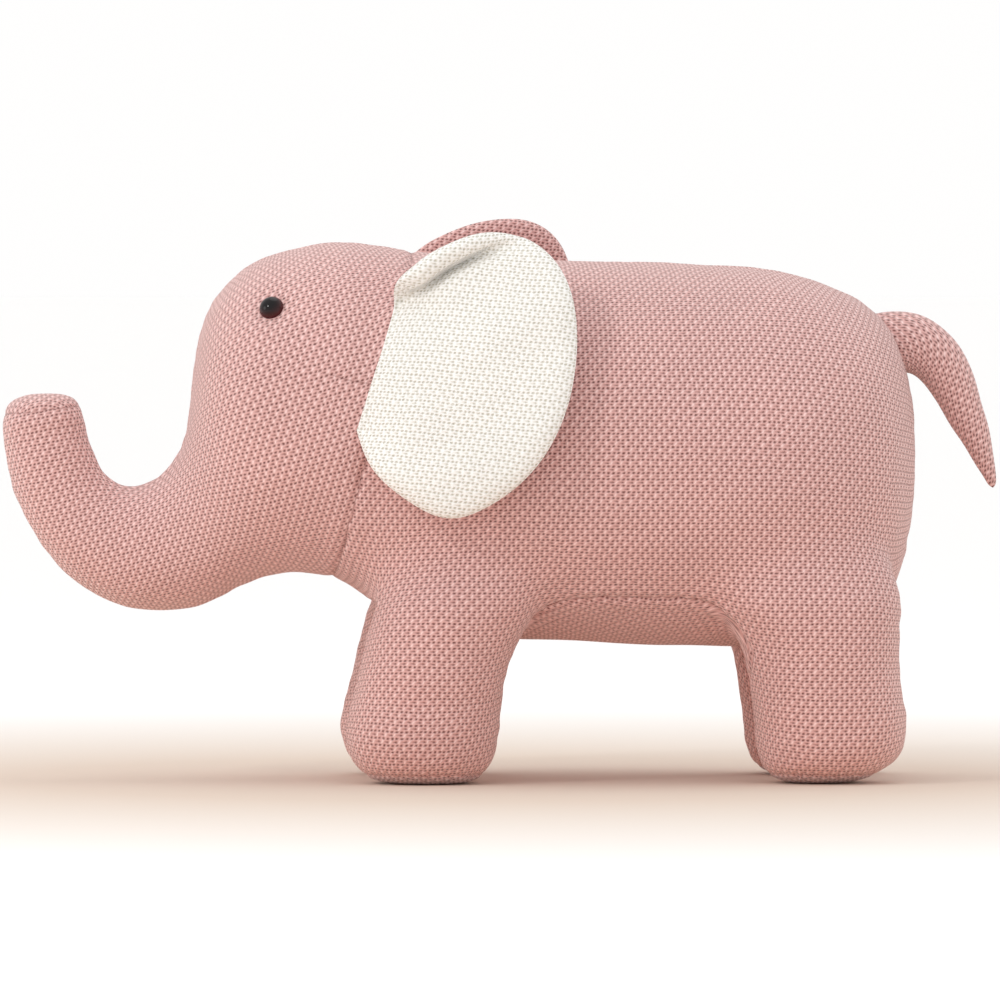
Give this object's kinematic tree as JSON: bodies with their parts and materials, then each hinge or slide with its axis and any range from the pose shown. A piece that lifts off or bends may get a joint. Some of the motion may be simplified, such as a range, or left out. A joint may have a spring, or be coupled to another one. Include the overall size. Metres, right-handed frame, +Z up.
{
  "type": "stuffed elephant",
  "caption": "standing soft toy elephant: knitted fabric panels sewn over filling, raised trunk, two padded ears and a curved tail that bend at their seams, domed safety eyes",
  "frame": {"origin": "centre of the footprint of the bounding box, on the plane that the soles stand on", "axes": "+Z up, head towards -X and tail towards +X, the toy's left side towards -Y"},
  "size_m": [0.4965, 0.2388, 0.2767],
  "materials": {
    "pink_knit": "matte",
    "white_knit": "matte",
    "filling": "matte",
    "eye": "gloss",
    "washer": "matte"
  },
  "bodies": {
    "body": {"side_panel_left": "pink_knit", "side_panel_right": "pink_knit", "underbody_panel": "pink_knit", "sole_front_left": "pink_knit", "sole_front_right": "pink_knit", "sole_rear_left": "pink_knit", "sole_rear_right": "pink_knit", "head_panel_left": "pink_knit", "head_panel_right": "pink_knit", "trunk_tip_cap": "pink_knit", "torso_stuffing": "filling", "head_stuffing": "filling", "trunk_stuffing": "filling", "leg_stuffing_front_left": "filling", "leg_stuffing_front_right": "filling", "leg_stuffing_rear_left": "filling", "leg_stuffing_rear_right": "filling", "eye_left": "eye", "eye_right": "eye", "eye_washer_left": "washer", "eye_washer_right": "washer"},
    "ear_left": {"ear_lining_left": "white_knit", "ear_back_left": "pink_knit", "ear_wadding_left": "filling"},
    "ear_right": {"ear_lining_right": "white_knit", "ear_back_right": "pink_knit", "ear_wadding_right": "filling"},
    "tail": {"tail_cover": "pink_knit", "tail_stuffing": "filling"}
  },
  "joints": [
    {"name": "ear_left_root", "type": "hinge", "parent": "body", "child": "ear_left", "pos_m": [-0.06, -0.084, 0.206], "axis": [-0.2871, -0.1917, -0.9385], "range_deg": [-4, 80], "stiffness_Nm_per_rad": 0.03},
    {"name": "ear_right_root", "type": "hinge", "parent": "body", "child": "ear_right", "pos_m": [-0.06, 0.084, 0.206], "axis": [0.2871, -0.1917, 0.9385], "range_deg": [-4, 80], "stiffness_Nm_per_rad": 0.03},
    {"name": "tail_root", "type": "hinge", "parent": "body", "child": "tail", "pos_m": [0.2126, 0, 0.2166], "axis": [0, -1, 0], "range_deg": [-15, 60], "stiffness_Nm_per_rad": 0.03}
  ]
}
